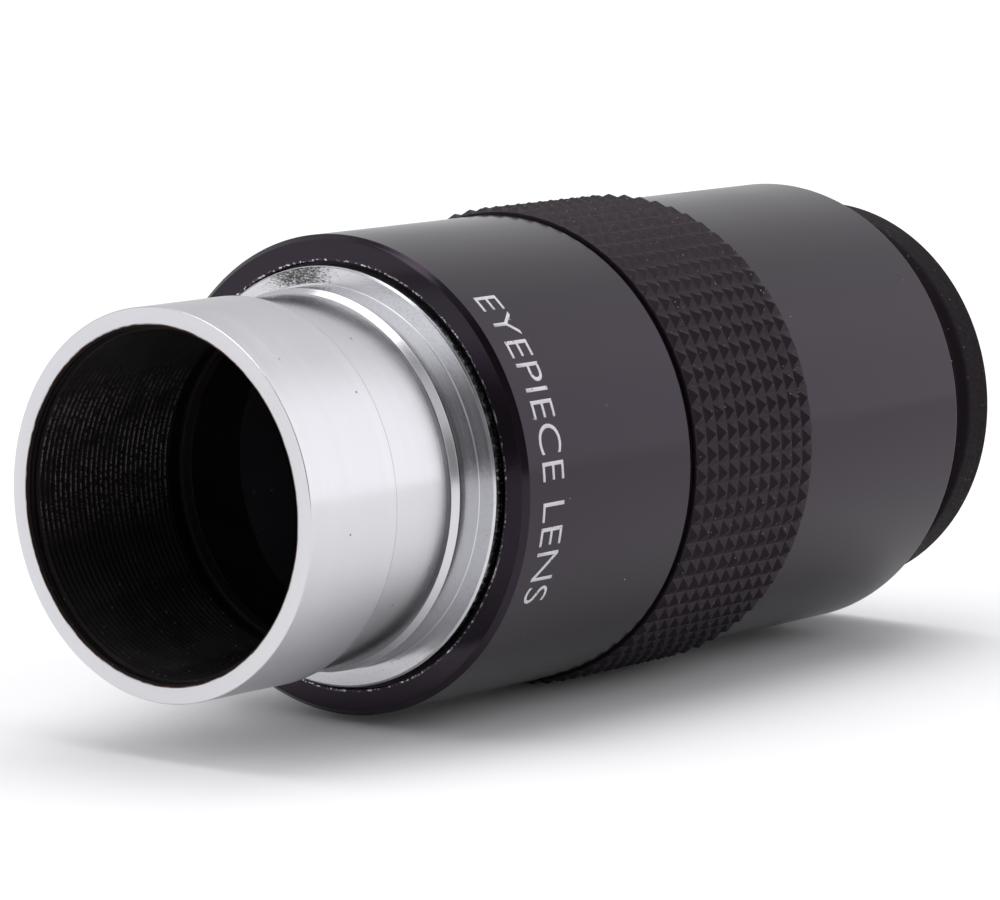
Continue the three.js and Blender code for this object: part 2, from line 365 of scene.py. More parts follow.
def anodised(name, colour, roughness, dust_share, worn_edges=False):
    """Gloss black over turned aluminium. Worn edges add the bare, chipped edge of the recess round the
    nosepiece and the turning marks of the front face."""
    f = Finish(name, IOR=1.5, Specular_Tint=(0.92, 0.71, 0.96, 1.0), Specular_IOR_Level=0.41)
    marks = f.rings(3800, 3.0)
    broad = f.rings(520, 2.0)
    cloud = f.noise(45, 4.0, 0.6)
    fine = f.noise(4200, 2.0)
    grains = f.specks(900, dust_share, 0.09)
    dark = tuple(c * 0.75 for c in colour) + (1,)
    light = tuple(c * 1.3 for c in colour) + (1,)
    base = f.mix(cloud, dark, light)
    base = f.mix(grains, base, (0.30, 0.28, 0.28, 1))
    if worn_edges:
        recess = f.math("MULTIPLY", f.ramp(f.radius, 17.98 * MM, 17.86 * MM),
                        f.ramp(f.radius, 17.70 * MM, 17.74 * MM))
        front = f.ramp(f.axial, along(BODY_FACE + 0.5), along(BODY_FACE + 0.3))
        chips = f.ramp(f.noise(2600, 3.0, 0.7), 0.53, 0.58)
        bare = f.math("MULTIPLY", f.math("MULTIPLY", recess, front), chips)
        base = f.mix(bare, base, (0.62, 0.60, 0.60, 1))
        f.metallic(bare)
    f.colour(base)
    f.roughness(f.math("ADD", f.ramp(cloud, 0.3, 0.7, roughness - 0.03, roughness + 0.04),
                       f.math("MULTIPLY", grains, 0.5)))
    layers = [(marks, 0.0009), (broad, 0.0012), (fine, 0.0006), (grains, 0.012)]
    if worn_edges:
        faced = f.math("MULTIPLY", f.rings(2300, 1.0),
                       f.ramp(f.axial, along(BODY_FACE + 0.2), along(BODY_FACE + 0.1)))
        layers.append((faced, 0.006))
    f.bump(*layers)
    return f.material


def rubber(name, colour, roughness, dust_share, grain, gloss, valley=None, front=None):
    """Moulded rubber with a fine grain, pale bloom and a little dust. With a valley radius, dust has also
    settled down there, and the rabbet at the front station is painted near black as shade."""
    f = Finish(name, Specular_IOR_Level=gloss, IOR=1.5, Specular_Tint=(1.0, 0.80, 0.97, 1.0))
    bloom = f.noise(140, 5.0, 0.65)
    texture = f.noise(2600, 4.0, 0.6)
    grains = f.specks(1100, dust_share * 0.3, 0.10)
    fibres = f.specks(3000, dust_share, 0.22)
    dust = f.math("MAXIMUM", grains, fibres)
    dark = tuple(c * 0.7 for c in colour) + (1,)
    light = tuple(c * 1.5 for c in colour) + (1,)
    base = f.mix(bloom, dark, light)
    if valley:
        settled = f.math("MULTIPLY", f.ramp(f.radius, (valley + 0.10) * MM, (valley + 0.02) * MM),
                         f.ramp(f.noise(400, 3.0), 0.35, 0.65, 0.3, 1.0))
        base = f.mix(settled, base, tuple(c * 2.4 for c in colour) + (1,))
        # Painted shade: the rabbet at the grip's front is coloured near black for the shade down in it, and
        # no dust is put there.
        rabbet = f.ramp(f.axial, along(front + GRIP_RABBET), along(front + GRIP_RABBET - 0.04))
        base = f.mix(rabbet, base, (0.0010, 0.0007, 0.0008, 1))
        dust = f.math("MULTIPLY", dust, f.math("SUBTRACT", 1.0, rabbet))
    f.colour(f.mix(dust, base, (0.16, 0.145, 0.15, 1)))
    f.roughness(f.ramp(texture, 0.25, 0.75, roughness - 0.08, roughness + 0.10))
    f.bump((texture, grain), (bloom, 0.01), (dust, 0.02))
    return f.material


def coated_glass(name, tint):
    """Polished glass with a faint coating colour and a trace of dust."""
    f = Finish(name, Transmission_Weight=1.0, IOR=1.52)
    haze = f.noise(90, 4.0, 0.6)
    grains = f.specks(420, 0.3, 0.06)
    f.colour(f.mix(grains, f.mix(haze, tint + (1,), (0.985, 0.99, 0.99, 1)), (0.5, 0.5, 0.5, 1)))
    f.roughness(f.math("ADD", f.ramp(haze, 0.4, 0.8, 0.004, 0.02), f.math("MULTIPLY", grains, 0.4)))
    f.bump((haze, 0.0004))
    return f.material


def cement():
    """The clear cement between two glass elements, which bends no light."""
    f = Finish("cement", Alpha=0.0, Roughness=0.05)
    f.colour(f.mix(f.noise(80), (0.95, 0.96, 0.95, 1), (0.98, 0.98, 0.97, 1)))
    return f.material


def marking_paint():
    f = Finish("marking_paint", Specular_IOR_Level=0.4)
    cloud = f.noise(900, 4.0, 0.6)
    pores = f.specks(3200, 0.25, 0.35)
    ink = f.mix(cloud, (0.50, 0.47, 0.52, 1), (0.66, 0.63, 0.68, 1))
    f.colour(f.mix(pores, ink, (0.12, 0.11, 0.12, 1)))
    f.roughness(f.ramp(cloud, 0.3, 0.7, 0.42, 0.58))
    f.bump((cloud, 0.004))
    return f.material


def floor_paint():
    f = Finish("floor_paint", Roughness=0.9, Specular_IOR_Level=0.1)
    f.colour(f.mix(f.noise(6, 3.0), (0.86, 0.86, 0.865, 1), (0.875, 0.875, 0.88, 1)))
    return f.material


OUTER, INNER, CARVED = 0, 1, "carved"
CHROME = bright_barrel()
THREAD_BLACK = thread_black()
BODY_BLACK = anodised("black_anodised", (0.0012, 0.0008, 0.0011), 0.16, 0.12, worn_edges=True)
INNER_BLACK = anodised("inner_black", (0.0085, 0.0070, 0.0075), 0.42, 0.25)
GRIP_RUBBER = rubber("grip_rubber", (0.0082, 0.0056, 0.0078), 0.45, 0.26, 0.006, 0.17,
                     valley=extent("grip_ring")[3] - PYRAMID_DEPTH, front=extent("grip_ring")[0])
CUP_RUBBER = rubber("cup_rubber", (0.0038, 0.0024, 0.0030), 0.62, 0.20, 0.010, 0.10)
FLINT = coated_glass("flint_glass", (0.93, 0.965, 0.94))
CROWN = coated_glass("crown_glass", (0.94, 0.97, 0.98))
CEMENT = cement()
PAINT = marking_paint()


# ---- Nosepiece, with a true filter thread in its bore ----

NOSE_START, NOSE_END, REAR_BORE_R, FLANGE_R = extent("nosepiece")
STOP_START, STOP_END, STOP_APERTURE_R, STOP_R = extent("field_stop_ring")
BORE_R = STOP_R + PLAY
BARREL_R, UNDERCUT_R, NECK_R, SPIGOT_R = 15.85, 15.4, 15.8, 16.0
UNDERCUT_START, UNDERCUT_END, NECK_START, FLANGE_BACK = 10.5, 17.75, 18.3, 22.4
PITCH = 0.6
THREAD_DEPTH = 0.32
THREAD_START, THREAD_END = 0.35, 17.3
ROWS_PER_PITCH = 9


def filter_thread(station, angles):
    """Radius of the bore at a station, with its slopes along the axis and round it; a right-hand thread."""
    fade = min(1.0, max(0.0, (station - THREAD_START) / 0.7), max(0.0, (THREAD_END - station) / 0.9))
    phase = (station / PITCH + angles / (2 * math.pi)) % 1.0
    from_crest = np.abs(phase - 0.5)
    crest, root = 0.07, 0.36
    flank = (from_crest > crest) & (from_crest < root)
    height = np.clip((root - from_crest) / (root - crest), 0, 1)
    steep = np.where(flank, -np.sign(phase - 0.5) / (root - crest), 0.0)
    radius = BORE_R - THREAD_DEPTH * fade * height
    axial_slope = -THREAD_DEPTH * fade * steep / PITCH
    swirl = -THREAD_DEPTH * fade * steep / (2 * math.pi)
    return radius, axial_slope, swirl


thread_rows = int((THREAD_END - THREAD_START) / PITCH * ROWS_PER_PITCH)
thread_wall = [
    (BORE_R, THREAD_END + (THREAD_START - THREAD_END) * i / thread_rows, None, CARVED)
    for i in range(thread_rows)
]
nosepiece = turned("nosepiece", [
    (BORE_R + 0.20, NOSE_START, 0.05, OUTER),
    (BARREL_R, NOSE_START, 0.09, OUTER),
    (BARREL_R, UNDERCUT_START, 0.16, OUTER),
    (UNDERCUT_R, UNDERCUT_START, 0.05, OUTER),
    (UNDERCUT_R, UNDERCUT_END, 0.04, OUTER),
    (NECK_R, NECK_START, 0.06, OUTER),
    (NECK_R, SHOULDER, 0.08, OUTER),
    (FLANGE_R - 0.16, SHOULDER, 0.04, OUTER),
    (FLANGE_R, SHOULDER + 0.16, 0.04, OUTER),
    (FLANGE_R, FLANGE_BACK, 0.10, OUTER),
    (SPIGOT_R, FLANGE_BACK, 0.10, OUTER),
    (SPIGOT_R, NOSE_END, 0.30, INNER),
    (REAR_BORE_R, NOSE_END, 0.12, INNER),
    (REAR_BORE_R, STOP_END + PLAY, 0.05, INNER),
    (BORE_R, STOP_END + PLAY, 0.02, INNER),
    *thread_wall,
    (BORE_R, THREAD_START, 0.0, INNER),
    (BORE_R, NOSE_START + 0.20, 0.04, INNER),
], [CHROME, THREAD_BLACK], relief=filter_thread)

field_stop_ring = turned("field_stop_ring", [
    (STOP_APERTURE_R, STOP_END - 0.2, 0.01, OUTER),
    (STOP_APERTURE_R + 0.3, STOP_START, 0.04, OUTER),
    (STOP_R, STOP_START, 0.05, OUTER),
    (STOP_R, STOP_END, 0.05, OUTER),
    (STOP_APERTURE_R, STOP_END, 0.02, OUTER),
], [INNER_BLACK])


# ---- Housing ----

BODY_START, BODY_SPIGOT_END, EYE_WINDOW_R, BODY_R = extent("housing")
GRIP_START, GRIP_END, GRIP_SEAT_R, GRIP_TIP_R = extent("grip_ring")
CUP_START, CUP_END, CUP_LOCK_R, CUP_LIP_R = extent("eyecup")
CELL_START, CELL_END, CELL_LIP_R, CELL_R = extent("lens_cell")
RECESS_R = FLANGE_R + 0.33
RECESS_FLOOR = 22.48
NOSE_THREAD_R, NOSE_THREAD_END = 16.08, 26.6
CELL_BORE_R = 15.9
CUP_RECESS_R, CUP_SPIGOT_R = 17.75, 16.3
LOCK_START, LOCK_END = CUP_START + 0.87, CUP_START + 2.27
CUP_SEAT = CUP_START - PLAY
BODY_END = CUP_SEAT + 0.1

housing = turned("housing", [
    (RECESS_R, BODY_START, 0.06, OUTER),
    (BODY_R - 0.45, BODY_START, 0.06, OUTER),
    (BODY_R, BODY_START + 0.45, 0.06, OUTER),
    (BODY_R, GRIP_START - PLAY, 0.07, OUTER),
    (GRIP_SEAT_R - PLAY, GRIP_START - PLAY, 0.05, OUTER),
    (GRIP_SEAT_R - PLAY, GRIP_END + PLAY, 0.05, OUTER),
    (BODY_R, GRIP_END + PLAY, 0.07, OUTER),
    (BODY_R, BODY_END, 0.16, OUTER),
    (CUP_RECESS_R, BODY_END, 0.04, OUTER),
    (CUP_RECESS_R, CUP_SEAT, 0.03, OUTER),
    (CUP_SPIGOT_R, CUP_SEAT, 0.08, OUTER),
    (CUP_SPIGOT_R, LOCK_START, 0.08, OUTER),
    (CUP_LOCK_R - PLAY, LOCK_START, 0.08, OUTER),
    (CUP_LOCK_R - PLAY, LOCK_END, 0.08, OUTER),
    (CUP_SPIGOT_R, LOCK_END, 0.08, OUTER),
    (CUP_SPIGOT_R, BODY_SPIGOT_END, 0.45, INNER),
    (15.0, BODY_SPIGOT_END, 0.20, INNER),
    (EYE_WINDOW_R, CELL_END + 1.72, 0.15, INNER),
    (EYE_WINDOW_R, CELL_END + 0.52, 0.08, INNER),
    (CELL_BORE_R, CELL_END + 0.52, 0.05, INNER),
    (CELL_BORE_R, CELL_START + 1.4, 0.05, INNER),
    (CELL_R + PLAY, CELL_START + 1.4, 0.05, INNER),
    (CELL_R + PLAY, NOSE_THREAD_END, 0.15, INNER),
    (NOSE_THREAD_R, NOSE_THREAD_END, 0.10, INNER),
    (NOSE_THREAD_R, RECESS_FLOOR, 0.05, INNER),
    (RECESS_R, RECESS_FLOOR, 0.05, OUTER),
], [BODY_BLACK, INNER_BLACK])


# ---- Grip ring: a rabbet at its front, then rows of small pyramids with narrow rounded edges ----

AROUND, ALONG = 75, 11
VALLEY_R = GRIP_TIP_R - PYRAMID_DEPTH
PYRAMIDS_START = GRIP_START + GRIP_RABBET
EDGE = 0.05
VALLEY_RISE = 0.02
SLOPE_HEIGHT = 0.48
LEVELS = [(1.0, "valley"), (0.95, "flank"), (0.13, "flank"), (0.05, "tip")]


def level_height(q):
    """Height above the valley of the ring of points at q: 1 is the cell's border and 0 is the tip."""
    if q == 1.0:
        return 0.0
    return VALLEY_RISE + SLOPE_HEIGHT * (LEVELS[1][0] - max(q, 0.10))


def grip_field():
    """The outer surface of the grip, one pyramid for each cell."""
    half_around = math.pi / AROUND
    half_along = (GRIP_END - PYRAMIDS_START) / ALONG / 2
    lean_around = SLOPE_HEIGHT / (half_around * GRIP_TIP_R)
    lean_along = SLOPE_HEIGHT / half_along
    sides = {  # (radial, axial, tangential) normals of the four flanks
        "+u": unit(np.array([1, 0, lean_around])), "-u": unit(np.array([1, 0, -lean_around])),
        "+v": unit(np.array([1, lean_along, 0])), "-v": unit(np.array([1, -lean_along, 0])),
    }
    facing = ["+u", "+v", "+v", "-u", "-u", "-v", "-v", "+u"]
    share = {"valley": 0.0, "flank": 1.0, "tip": 0.5}
    up = np.array([1.0, 0, 0])
    positions, faces, normals = [], [], []

    def corner_ring(q):
        e = min(EDGE, 0.8 * q)
        return [(q, q - e), (q - e, q), (e - q, q), (-q, q - e),
                (-q, e - q), (e - q, -q), (q - e, -q), (q, e - q)]

    for row in range(ALONG):
        for column in range(AROUND):
            middle = (2 * column + 1) * half_around
            station = PYRAMIDS_START + (2 * row + 1) * half_along
            start = len(positions)

            def put(u, v, height):
                angle = middle + u * half_around
                radius = VALLEY_R + height
                y = station + v * half_along
                positions.append((radius * math.cos(angle), y, radius * math.sin(angle)))

            def turn(vector):
                return spread(tuple(vector), np.array(middle))

            ring_normals = []
            for q, kind in LEVELS:
                for u, v in corner_ring(q):
                    put(u, v, level_height(q))
                weight = share[kind]
                ring_normals.append([turn(unit(up * (1 - weight) + sides[f] * weight)) for f in facing])
            for a in range(len(LEVELS) - 1):
                outer, inner = start + a * 8, start + a * 8 + 8
                n_outer, n_inner = ring_normals[a], ring_normals[a + 1]
                for j in range(8):
                    k = (j + 1) % 8
                    faces.append((outer + k, outer + j, inner + j, inner + k))
                    normals.append((n_outer[k], n_outer[j], n_inner[j], n_inner[k]))
            top = start + (len(LEVELS) - 1) * 8
            put(0, 0, GRIP_TIP_R - VALLEY_R)
            centre = len(positions) - 1
            for j in range(8):
                k = (j + 1) % 8
                faces.append((centre, top + k, top + j))
                normals.append((turn(up), ring_normals[-1][k], ring_normals[-1][j]))
            for j, (u, v) in zip((0, 2, 4, 6), ((1, 1), (-1, 1), (-1, -1), (1, -1))):
                put(u, v, 0.0)
                faces.append((len(positions) - 1, start + j + 1, start + j))
                normals.append((turn(up),) * 3)
    return positions, faces, normals


field_positions, field_faces, field_normals = grip_field()
half_cell = math.pi / AROUND
wall_angles = np.array([
    (2 * column + 1 + u) * half_cell for column in range(AROUND) for u in (-1, EDGE - 1, 1 - EDGE)])
wall = lathe(rounded([
    (VALLEY_R, GRIP_END, 0, OUTER),
    (GRIP_SEAT_R, GRIP_END, 0.05, OUTER),
    (GRIP_SEAT_R, GRIP_START, 0.05, OUTER),
    (BODY_R - 0.25, GRIP_START, 0.04, OUTER),
    (BODY_R - 0.25, GRIP_START + 0.42, 0.04, OUTER),
    (VALLEY_R, PYRAMIDS_START, 0, OUTER),
], closed=False), False, wall_angles)
shift = len(field_positions)
grip_ring = make_piece(
    "grip_ring",
    np.vstack([np.array(field_positions), wall[0]]),
    field_faces + [tuple(i + shift for i in face) for face in wall[1]],
    field_normals + wall[2],
    [OUTER] * (len(field_faces) + len(wall[1])),
    [GRIP_RUBBER],
)


# ---- Eyecup ----

CUP_SLEEVE_BORE_R, CUP_SLEEVE_R = 16.38, 17.0

eyecup = turned("eyecup", [
    (CUP_SLEEVE_BORE_R, CUP_START, 0.08, OUTER),
    (CUP_SLEEVE_R, CUP_START, 0.10, OUTER),
    (CUP_SLEEVE_R, CUP_END - 4.5, 1.2, OUTER),
    (CUP_LIP_R, CUP_END - 3.5, 0.9, OUTER),
    (CUP_LIP_R, CUP_END, 0.75, OUTER),
    (16.25, CUP_END, 0.42, OUTER),
    (16.1, CUP_END - 0.9, 0.5, OUTER),
    (16.42, CUP_END - 4.25, 0.6, OUTER),
    (CUP_SLEEVE_BORE_R, CUP_START + 2.2, 0.08, OUTER),
    (CUP_LOCK_R, CUP_START + 2.2, 0.06, OUTER),
    (CUP_LOCK_R, CUP_START + 0.95, 0.06, OUTER),
    (CUP_SLEEVE_BORE_R, CUP_START + 0.95, 0.06, OUTER),
], [CUP_RUBBER])


# ---- Lenses, cell, retaining ring and spacer ----

CEMENT_CURVE, CROWN_CURVE = 27.4, 35.0
FLINT_THICKNESS = 2.0
FIELD_START, _, _, LENS_R = extent("field_flint")
EYE_END = extent("eye_flint")[1]
FIELD_CEMENT, EYE_CEMENT = FIELD_START + FLINT_THICKNESS, EYE_END - FLINT_THICKNESS
FIELD_APEX, EYE_APEX = extent("field_crown")[1], extent("eye_crown")[0]
FILM = 0.02
BEVEL = 0.12


def lens_edge(station, band, bevel=BEVEL):
    return (LENS_R, station, bevel, band)


def rim_of(apex, curve, bulge):
    return apex - bulge * (curve - math.sqrt(curve ** 2 - LENS_R ** 2))


field_flint = turned("field_flint", [
    (0, FIELD_START, None, OUTER),
    lens_edge(FIELD_START, OUTER),
    lens_edge(rim_of(FIELD_CEMENT, CEMENT_CURVE, -1), INNER, 0.0),
    *reversed(dome(FIELD_CEMENT, CEMENT_CURVE, LENS_R, -1, INNER)),
], [FLINT, CEMENT], closed=False)
field_crown = turned("field_crown", [
    *dome(FIELD_CEMENT + FILM, CEMENT_CURVE, LENS_R, -1, INNER),
    lens_edge(rim_of(FIELD_CEMENT + FILM, CEMENT_CURVE, -1), OUTER, 0.0),
    lens_edge(rim_of(FIELD_APEX, CROWN_CURVE, 1), OUTER),
    *reversed(dome(FIELD_APEX, CROWN_CURVE, LENS_R, 1, OUTER)),
], [CROWN, CEMENT], closed=False)
eye_crown = turned("eye_crown", [
    *dome(EYE_APEX, CROWN_CURVE, LENS_R, -1, OUTER),
    lens_edge(rim_of(EYE_APEX, CROWN_CURVE, -1), OUTER),
    lens_edge(rim_of(EYE_CEMENT - FILM, CEMENT_CURVE, 1), INNER, 0.0),
    *reversed(dome(EYE_CEMENT - FILM, CEMENT_CURVE, LENS_R, 1, INNER)),
], [CROWN, CEMENT], closed=False)
eye_flint = turned("eye_flint", [
    *dome(EYE_CEMENT, CEMENT_CURVE, LENS_R, 1, INNER),
    lens_edge(rim_of(EYE_CEMENT, CEMENT_CURVE, 1), OUTER, 0.0),
    lens_edge(EYE_END, OUTER),
    (0, EYE_END, None, OUTER),
], [FLINT, CEMENT], closed=False)

CELL_MOUTH_R, CELL_SLEEVE_R = 14.68, 15.82
CELL_FLANGE_END = CELL_START + 1.32

lens_cell = turned("lens_cell", [
    (CELL_MOUTH_R, CELL_START, 0.10, OUTER),
    (CELL_R, CELL_START, 0.12, OUTER),
    (CELL_R, CELL_FLANGE_END, 0.06, OUTER),
    (CELL_SLEEVE_R, CELL_FLANGE_END, 0.05, OUTER),
    (CELL_SLEEVE_R, CELL_END, 0.20, OUTER),
    (CELL_LIP_R + 0.4, CELL_END, 0.06, OUTER),
    (CELL_LIP_R, EYE_END + PLAY, 0.03, OUTER),
    (LENS_R + PLAY, EYE_END + PLAY, 0.03, OUTER),
    (LENS_R + PLAY, FIELD_START - PLAY, 0.05, OUTER),
    (CELL_MOUTH_R, FIELD_START - PLAY, 0.03, OUTER),
], [INNER_BLACK])

SPACER_START, SPACER_END, SPACER_BORE_R, SPACER_R = extent("spacer_ring")
spacer_ring = turned("spacer_ring", [
    (SPACER_BORE_R, SPACER_START, 0.05, OUTER),
    (SPACER_R, SPACER_START, 0.08, OUTER),
    (SPACER_R, SPACER_END, 0.08, OUTER),
    (SPACER_BORE_R, SPACER_END, 0.05, OUTER),
], [INNER_BLACK])

RETAINER_START, RETAINER_END, RETAINER_BORE_R, RETAINER_R = extent("cell_retaining_ring")
SLOT_HALF = math.asin(1.0 / RETAINER_R)
SLOT_DEPTH = 0.8


def retaining_ring():
    """A ring with two spanner slots across its nose side, on the X axis."""
    edges = [SLOT_HALF, math.pi - SLOT_HALF, math.pi + SLOT_HALF, 2 * math.pi - SLOT_HALF]
    columns = []
    for start, end, steps, cut in (
        (edges[3] - 2 * math.pi, edges[0], 8, SLOT_DEPTH), (edges[0], edges[1], 84, 0.0),
        (edges[1], edges[2], 8, SLOT_DEPTH), (edges[2], edges[3], 84, 0.0),
    ):
        columns += [(start + (end - start) * i / steps, cut) for i in range(steps + 1)]
    front = RETAINER_START
    section = [  # (radius, station, how far a slot may lower it)
        (RETAINER_BORE_R + 0.5, front, 1),
        (RETAINER_R - 0.12, front, 1),
        (RETAINER_R, front + 0.12, 1),
        (RETAINER_R, RETAINER_END, 0),
        (RETAINER_BORE_R, RETAINER_END, 0),
        (RETAINER_BORE_R, front + 0.5, 1),
    ]
    vertices, faces = [], []
    for angle, cut in columns:
        for radius, station, lowered in section:
            y = max(station, front + cut) if lowered else station
            vertices.append((radius * math.cos(angle) * MM, along(y), radius * math.sin(angle) * MM))
    size = len(section)
    for k in range(len(columns)):
        m = (k + 1) % len(columns)
        for i in range(size):
            j = (i + 1) % size
            faces.append((k * size + i, k * size + j, m * size + j, m * size + i))
    mesh = bpy.data.meshes.new("cell_retaining_ring")
    mesh.from_pydata(vertices, [], faces)
    shape = bmesh.new()
    shape.from_mesh(mesh)
    bmesh.ops.remove_doubles(shape, verts=shape.verts, dist=1e-7)
    bmesh.ops.dissolve_degenerate(shape, edges=shape.edges, dist=1e-7)
    bmesh.ops.recalc_face_normals(shape, faces=shape.faces)
    shape.to_mesh(mesh)
    shape.free()
    mesh.materials.append(INNER_BLACK)
    mesh.polygons.foreach_set("use_smooth", [True] * len(mesh.polygons))
    mesh.set_sharp_from_angle(angle=math.radians(30))
    ring = bpy.data.objects.new("cell_retaining_ring", mesh)
    bpy.context.scene.collection.objects.link(ring)
    return ring


cell_retaining_ring = retaining_ring()


# ---- Generic marking, printed round the body ----

MARK_TEXT = "EYEPIECE LENS"
MARK_HEIGHT, MARK_LENGTH, MARK_THICKNESS = 2.8, 27.1, 0.03
MARK_STRIP = 0.4
MARK_FOOT = BODY_START + 2.15
MARK_FROM = math.radians(50.5)
MARK_SUNK = 0.015


def marking():
    """Thin raised letters that follow the cylinder; their tops face the eye end. The letters' spacing is
    solved so that the words have their length at their height, and strips let them bend round the body."""
    curve = bpy.data.curves.new("marking", "FONT")
    curve.body = MARK_TEXT
    curve.resolution_u = 6
    curve.offset = -0.009
    writing = bpy.data.objects.new("writing", curve)
    bpy.context.scene.collection.objects.link(writing)
    proportion = {}
    for spacing in (1.0, 2.0):
        curve.space_character = spacing
        bpy.context.view_layer.update()
        proportion[spacing] = writing.dimensions.x / writing.dimensions.y
    wanted = MARK_LENGTH / MARK_HEIGHT
    curve.space_character = 1.0 + (wanted - proportion[1.0]) / (proportion[2.0] - proportion[1.0])
    bpy.context.view_layer.update()
    solved = writing.evaluated_get(bpy.context.evaluated_depsgraph_get())
    flat = bpy.data.meshes.new_from_object(solved)
    bpy.data.objects.remove(writing)
    shape = bmesh.new()
    shape.from_mesh(flat)
    bmesh.ops.remove_doubles(shape, verts=shape.verts, dist=1e-5)
    low = [min(v.co[i] for v in shape.verts) for i in range(2)]
    high = [max(v.co[i] for v in shape.verts) for i in range(2)]
    for v in shape.verts:
        v.co.x = (v.co.x - low[0]) / (high[0] - low[0]) * MARK_LENGTH
        v.co.y = (v.co.y - low[1]) / (high[1] - low[1]) * MARK_HEIGHT
        v.co.z = 0.0
    for i in range(1, int(MARK_LENGTH / MARK_STRIP)):
        bmesh.ops.bisect_plane(shape, geom=shape.verts[:] + shape.edges[:] + shape.faces[:],
                               plane_co=(i * MARK_STRIP, 0, 0), plane_no=(1, 0, 0))
    top = bmesh.ops.extrude_face_region(shape, geom=shape.faces[:])
    for v in (g for g in top["geom"] if isinstance(g, bmesh.types.BMVert)):
        v.co.z = MARK_THICKNESS
    for v in shape.verts:
        angle = MARK_FROM - v.co.x / BODY_R
        radius = BODY_R - MARK_SUNK + v.co.z
        y = RIM_Y + MARK_FOOT + v.co.y
        v.co = Vector((radius * math.cos(angle), y, radius * math.sin(angle))) * MM
    bmesh.ops.recalc_face_normals(shape, faces=shape.faces)
    shape.to_mesh(flat)
    shape.free()
    flat.materials.clear()
    flat.materials.append(PAINT)
    letters = bpy.data.objects.new("marking", flat)
    bpy.context.scene.collection.objects.link(letters)
    return letters


letters = marking()


# ---- Which piece stands for which node ----

for piece, body, slot in (
    (nosepiece, "nose", "bright_barrel"),
    (field_stop_ring, "nose_advance", "inner_black"),
    (housing, "body", "black_anodised"),
    (grip_ring, "body", "grip_rubber"),
    (eyecup, "body", "cup_rubber"),
    (lens_cell, "body", "inner_black"),
    (cell_retaining_ring, "body", "inner_black"),
    (spacer_ring, "body", "inner_black"),
    (field_flint, "body", "flint_glass"),
    (field_crown, "body", "crown_glass"),
    (eye_crown, "body", "crown_glass"),
    (eye_flint, "body", "flint_glass"),
):
    node = piece.name.split(".")[0]
    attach(piece, body)
    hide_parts(node)
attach(letters, "body")
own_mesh(eyecup)


# ---- Floor, light and camera ----

bpy.context.view_layer.update()
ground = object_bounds()[0].z
floor_mesh = bpy.data.meshes.new("floor")
REACH, RIGHT_REACH = 4.0, 1.6
floor_mesh.from_pydata([
    (-REACH, -REACH, ground), (RIGHT_REACH, -REACH, ground),
    (RIGHT_REACH, REACH, ground), (-REACH, REACH, ground),
], [], [(0, 1, 2, 3)])
floor_mesh.materials.append(floor_paint())
floor = bpy.data.objects.new("floor", floor_mesh)
bpy.context.scene.collection.objects.link(floor)

AZIMUTH, ELEVATION = math.radians(38.46), math.radians(7.79)
ASIDE, ABOVE, DISTANCE = 26.970, 4.449, 416.255
sin_a, cos_a = math.sin(AZIMUTH), math.cos(AZIMUTH)
sin_e, cos_e = math.sin(ELEVATION), math.cos(ELEVATION)
right = Vector((cos_a, sin_a, 0))
up = Vector((-sin_a * sin_e, cos_a * sin_e, cos_e))
look = Vector((-sin_a * cos_e, cos_a * cos_e, -sin_e))
rim_centre = Vector((0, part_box("nosepiece")[0].y, 0))
camera_data = bpy.data.cameras.new("camera")
camera_data.lens = 189.55
camera_data.sensor_width = 36
camera_data.clip_start, camera_data.clip_end = 0.01, 50
camera = bpy.data.objects.new("camera", camera_data)
bpy.context.scene.collection.objects.link(camera)
place = rim_centre + (ASIDE * right + ABOVE * up - DISTANCE * look) * MM
camera.matrix_world = Matrix((
    (right.x, up.x, -look.x, place.x),
    (right.y, up.y, -look.y, place.y),
    (right.z, up.z, -look.z, place.z),
    (0, 0, 0, 1)))
bpy.context.scene.camera = camera


